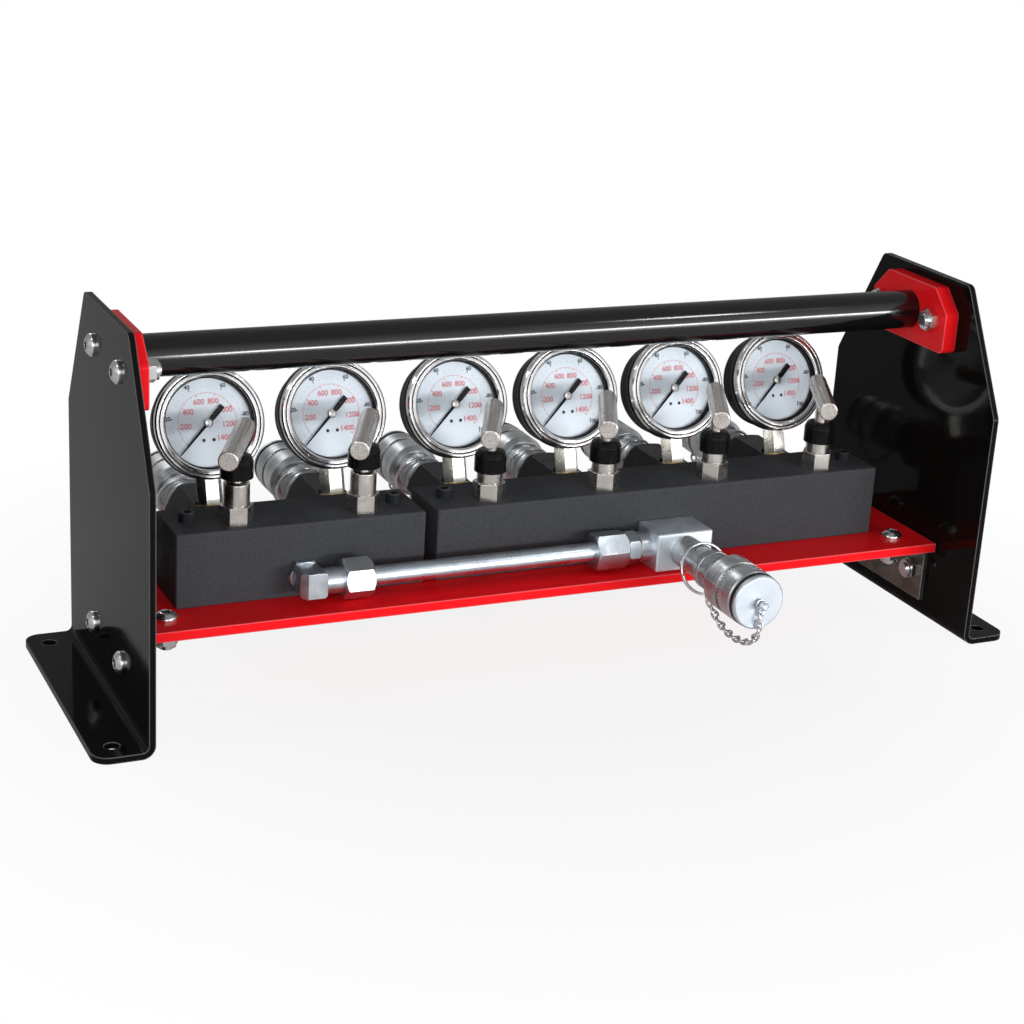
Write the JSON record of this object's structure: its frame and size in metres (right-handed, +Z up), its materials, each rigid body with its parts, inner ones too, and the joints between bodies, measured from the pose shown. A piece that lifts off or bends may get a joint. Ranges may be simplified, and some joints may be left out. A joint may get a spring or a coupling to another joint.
{
  "type": "hydraulic manifold",
  "caption": "Portable hydraulic manifold: two drilled blocks with needle valves, pressure gauges and quick couplers, in a steel frame with a carrying handle.",
  "frame": {"origin": "on the floor, in the middle of the four foot holes", "axes": "+X along the blocks from the two-outlet block to the four-outlet block, +Y from the valves to the rear outlets, +Z up"},
  "size_m": [0.62, 0.3114, 0.235],
  "materials": {
    "black_coat": "gloss powder coat",
    "red_coat": "gloss powder coat",
    "black_block": "satin black",
    "black_oxide": "oiled black oxide",
    "zinc_plate": "bright zinc",
    "bright_fastener": "stainless",
    "bright_valve": "nickel plate",
    "polished_bezel": "polished stainless",
    "gauge_case": "satin black",
    "gauge_glass": "clear",
    "dial_face": "white enamel",
    "brass_seal": "bonded seal",
    "boot_rubber": "glossy rubber",
    "tee_bar_steel": "turned steel",
    "pointer_black": "matt black",
    "collar_zinc": "bright zinc, turned",
    "cap_zinc": "bright zinc, faced"
  },
  "bodies": {
    "root": {"left_end_plate": "black_coat", "right_end_plate": "black_coat", "handle_brackets": "red_coat", "handle_tube": "black_coat", "base_plate": "red_coat", "angle_brackets": "zinc_plate", "frame_bolts": "bright_fastener", "frame_nuts": "bright_fastener", "two_port_block": "black_block", "four_port_block": "black_block", "block_screws": "black_oxide", "gallery_plugs": "black_oxide", "valve_bonnets": "bright_valve", "gauge_adapters": "black_oxide", "gauge_seals": "brass_seal", "gauge_cases": "gauge_case", "gauge_bezels": "polished_bezel", "gauge_windows": "gauge_glass", "gauge_dials": "dial_face", "gauge_movements": "zinc_plate", "coupler_bodies": "zinc_plate", "coupler_poppets": "zinc_plate", "cap_chains": "zinc_plate", "inlet_tee": "zinc_plate", "inlet_elbow": "zinc_plate", "tube_adapter": "zinc_plate", "tube_nuts": "zinc_plate", "inlet_tube": "zinc_plate"},
    "valve_1_boot": {"valve_boot_1": "boot_rubber"},
    "valve_1_handle": {"valve_handle_1": "tee_bar_steel"},
    "gauge_1_pointer": {"gauge_pointer_1": "pointer_black"},
    "valve_2_boot": {"valve_boot_2": "boot_rubber"},
    "valve_2_handle": {"valve_handle_2": "tee_bar_steel"},
    "gauge_2_pointer": {"gauge_pointer_2": "pointer_black"},
    "valve_3_boot": {"valve_boot_3": "boot_rubber"},
    "valve_3_handle": {"valve_handle_3": "tee_bar_steel"},
    "gauge_3_pointer": {"gauge_pointer_3": "pointer_black"},
    "valve_4_boot": {"valve_boot_4": "boot_rubber"},
    "valve_4_handle": {"valve_handle_4": "tee_bar_steel"},
    "gauge_4_pointer": {"gauge_pointer_4": "pointer_black"},
    "valve_5_boot": {"valve_boot_5": "boot_rubber"},
    "valve_5_handle": {"valve_handle_5": "tee_bar_steel"},
    "gauge_5_pointer": {"gauge_pointer_5": "pointer_black"},
    "valve_6_boot": {"valve_boot_6": "boot_rubber"},
    "valve_6_handle": {"valve_handle_6": "tee_bar_steel"},
    "gauge_6_pointer": {"gauge_pointer_6": "pointer_black"},
    "outlet_1_collar": {"outlet_1_collar": "collar_zinc"},
    "outlet_1_cap": {"outlet_1_cap": "cap_zinc"},
    "outlet_2_collar": {"outlet_2_collar": "collar_zinc"},
    "outlet_2_cap": {"outlet_2_cap": "cap_zinc"},
    "outlet_3_collar": {"outlet_3_collar": "collar_zinc"},
    "outlet_3_cap": {"outlet_3_cap": "cap_zinc"},
    "outlet_4_collar": {"outlet_4_collar": "collar_zinc"},
    "outlet_4_cap": {"outlet_4_cap": "cap_zinc"},
    "outlet_5_collar": {"outlet_5_collar": "collar_zinc"},
    "outlet_5_cap": {"outlet_5_cap": "cap_zinc"},
    "outlet_6_collar": {"outlet_6_collar": "collar_zinc"},
    "outlet_6_cap": {"outlet_6_cap": "cap_zinc"},
    "inlet_collar": {"inlet_collar": "collar_zinc"},
    "inlet_cap": {"inlet_cap": "cap_zinc"}
  },
  "joints": [
    {"name": "valve_1_turn", "type": "hinge", "parent": "valve_1_boot", "child": "valve_1_handle", "pos_m": [-0.2025, -0.005, 0.1525], "axis": [0, 0, 1], "range_deg": [0, 1350]},
    {"name": "valve_1_lift", "type": "slide", "parent": "root", "child": "valve_1_boot", "axis": [0, 0, 1], "range_m": [0, 0.00375]},
    {"name": "gauge_1_reading", "type": "hinge", "parent": "root", "child": "gauge_1_pointer", "pos_m": [-0.2025, 0.05374, 0.14736], "axis": [0, 0.9511, -0.309], "range_deg": [0, 270], "stiffness_Nm_per_rad": 0.0004},
    {"name": "valve_2_turn", "type": "hinge", "parent": "valve_2_boot", "child": "valve_2_handle", "pos_m": [-0.1225, -0.005, 0.1525], "axis": [0, 0, 1], "range_deg": [0, 1350]},
    {"name": "valve_2_lift", "type": "slide", "parent": "root", "child": "valve_2_boot", "axis": [0, 0, 1], "range_m": [0, 0.00375]},
    {"name": "gauge_2_reading", "type": "hinge", "parent": "root", "child": "gauge_2_pointer", "pos_m": [-0.1225, 0.05374, 0.14736], "axis": [0, 0.9511, -0.309], "range_deg": [0, 270], "stiffness_Nm_per_rad": 0.0004},
    {"name": "valve_3_turn", "type": "hinge", "parent": "valve_3_boot", "child": "valve_3_handle", "pos_m": [-0.0385, -0.005, 0.1525], "axis": [0, 0, 1], "range_deg": [0, 1350]},
    {"name": "valve_3_lift", "type": "slide", "parent": "root", "child": "valve_3_boot", "axis": [0, 0, 1], "range_m": [0, 0.00375]},
    {"name": "gauge_3_reading", "type": "hinge", "parent": "root", "child": "gauge_3_pointer", "pos_m": [-0.0385, 0.05374, 0.14736], "axis": [0, 0.9511, -0.309], "range_deg": [0, 270], "stiffness_Nm_per_rad": 0.0004},
    {"name": "valve_4_turn", "type": "hinge", "parent": "valve_4_boot", "child": "valve_4_handle", "pos_m": [0.0415, -0.005, 0.1525], "axis": [0, 0, 1], "range_deg": [0, 1350]},
    {"name": "valve_4_lift", "type": "slide", "parent": "root", "child": "valve_4_boot", "axis": [0, 0, 1], "range_m": [0, 0.00375]},
    {"name": "gauge_4_reading", "type": "hinge", "parent": "root", "child": "gauge_4_pointer", "pos_m": [0.0415, 0.05374, 0.14736], "axis": [0, 0.9511, -0.309], "range_deg": [0, 270], "stiffness_Nm_per_rad": 0.0004},
    {"name": "valve_5_turn", "type": "hinge", "parent": "valve_5_boot", "child": "valve_5_handle", "pos_m": [0.1215, -0.005, 0.1525], "axis": [0, 0, 1], "range_deg": [0, 1350]},
    {"name": "valve_5_lift", "type": "slide", "parent": "root", "child": "valve_5_boot", "axis": [0, 0, 1], "range_m": [0, 0.00375]},
    {"name": "gauge_5_reading", "type": "hinge", "parent": "root", "child": "gauge_5_pointer", "pos_m": [0.1215, 0.05374, 0.14736], "axis": [0, 0.9511, -0.309], "range_deg": [0, 270], "stiffness_Nm_per_rad": 0.0004},
    {"name": "valve_6_turn", "type": "hinge", "parent": "valve_6_boot", "child": "valve_6_handle", "pos_m": [0.2015, -0.005, 0.1525], "axis": [0, 0, 1], "range_deg": [0, 1350]},
    {"name": "valve_6_lift", "type": "slide", "parent": "root", "child": "valve_6_boot", "axis": [0, 0, 1], "range_m": [0, 0.00375]},
    {"name": "gauge_6_reading", "type": "hinge", "parent": "root", "child": "gauge_6_pointer", "pos_m": [0.2015, 0.05374, 0.14736], "axis": [0, 0.9511, -0.309], "range_deg": [0, 270], "stiffness_Nm_per_rad": 0.0004},
    {"name": "outlet_1_collar_turn", "type": "hinge", "parent": "root", "child": "outlet_1_collar", "pos_m": [-0.2025, 0.132, 0.0815], "axis": [0, 1, 0], "continuous": true},
    {"name": "outlet_1_cap_pull", "type": "slide", "parent": "root", "child": "outlet_1_cap", "axis": [0, 1, 0], "range_m": [0, 0.02], "deforming": ["cap_chains"]},
    {"name": "outlet_2_collar_turn", "type": "hinge", "parent": "root", "child": "outlet_2_collar", "pos_m": [-0.1225, 0.132, 0.0815], "axis": [0, 1, 0], "continuous": true},
    {"name": "outlet_2_cap_pull", "type": "slide", "parent": "root", "child": "outlet_2_cap", "axis": [0, 1, 0], "range_m": [0, 0.02], "deforming": ["cap_chains"]},
    {"name": "outlet_3_collar_turn", "type": "hinge", "parent": "root", "child": "outlet_3_collar", "pos_m": [-0.0385, 0.132, 0.0815], "axis": [0, 1, 0], "continuous": true},
    {"name": "outlet_3_cap_pull", "type": "slide", "parent": "root", "child": "outlet_3_cap", "axis": [0, 1, 0], "range_m": [0, 0.02], "deforming": ["cap_chains"]},
    {"name": "outlet_4_collar_turn", "type": "hinge", "parent": "root", "child": "outlet_4_collar", "pos_m": [0.0415, 0.132, 0.0815], "axis": [0, 1, 0], "continuous": true},
    {"name": "outlet_4_cap_pull", "type": "slide", "parent": "root", "child": "outlet_4_cap", "axis": [0, 1, 0], "range_m": [0, 0.02], "deforming": ["cap_chains"]},
    {"name": "outlet_5_collar_turn", "type": "hinge", "parent": "root", "child": "outlet_5_collar", "pos_m": [0.1215, 0.132, 0.0815], "axis": [0, 1, 0], "continuous": true},
    {"name": "outlet_5_cap_pull", "type": "slide", "parent": "root", "child": "outlet_5_cap", "axis": [0, 1, 0], "range_m": [0, 0.02], "deforming": ["cap_chains"]},
    {"name": "outlet_6_collar_turn", "type": "hinge", "parent": "root", "child": "outlet_6_collar", "pos_m": [0.2015, 0.132, 0.0815], "axis": [0, 1, 0], "continuous": true},
    {"name": "outlet_6_cap_pull", "type": "slide", "parent": "root", "child": "outlet_6_cap", "axis": [0, 1, 0], "range_m": [0, 0.02], "deforming": ["cap_chains"]},
    {"name": "inlet_collar_turn", "type": "hinge", "parent": "root", "child": "inlet_collar", "pos_m": [0.0815, -0.116, 0.0715], "axis": [0, -1, 0], "continuous": true},
    {"name": "inlet_cap_pull", "type": "slide", "parent": "root", "child": "inlet_cap", "axis": [0, -1, 0], "range_m": [0, 0.02], "deforming": ["cap_chains"]}
  ],
  "couplings": [
    {"joint": "valve_1_lift", "follows": "valve_1_turn", "m_per_rad": 0.00015915},
    {"joint": "valve_2_lift", "follows": "valve_2_turn", "m_per_rad": 0.00015915},
    {"joint": "valve_3_lift", "follows": "valve_3_turn", "m_per_rad": 0.00015915},
    {"joint": "valve_4_lift", "follows": "valve_4_turn", "m_per_rad": 0.00015915},
    {"joint": "valve_5_lift", "follows": "valve_5_turn", "m_per_rad": 0.00015915},
    {"joint": "valve_6_lift", "follows": "valve_6_turn", "m_per_rad": 0.00015915}
  ]
}
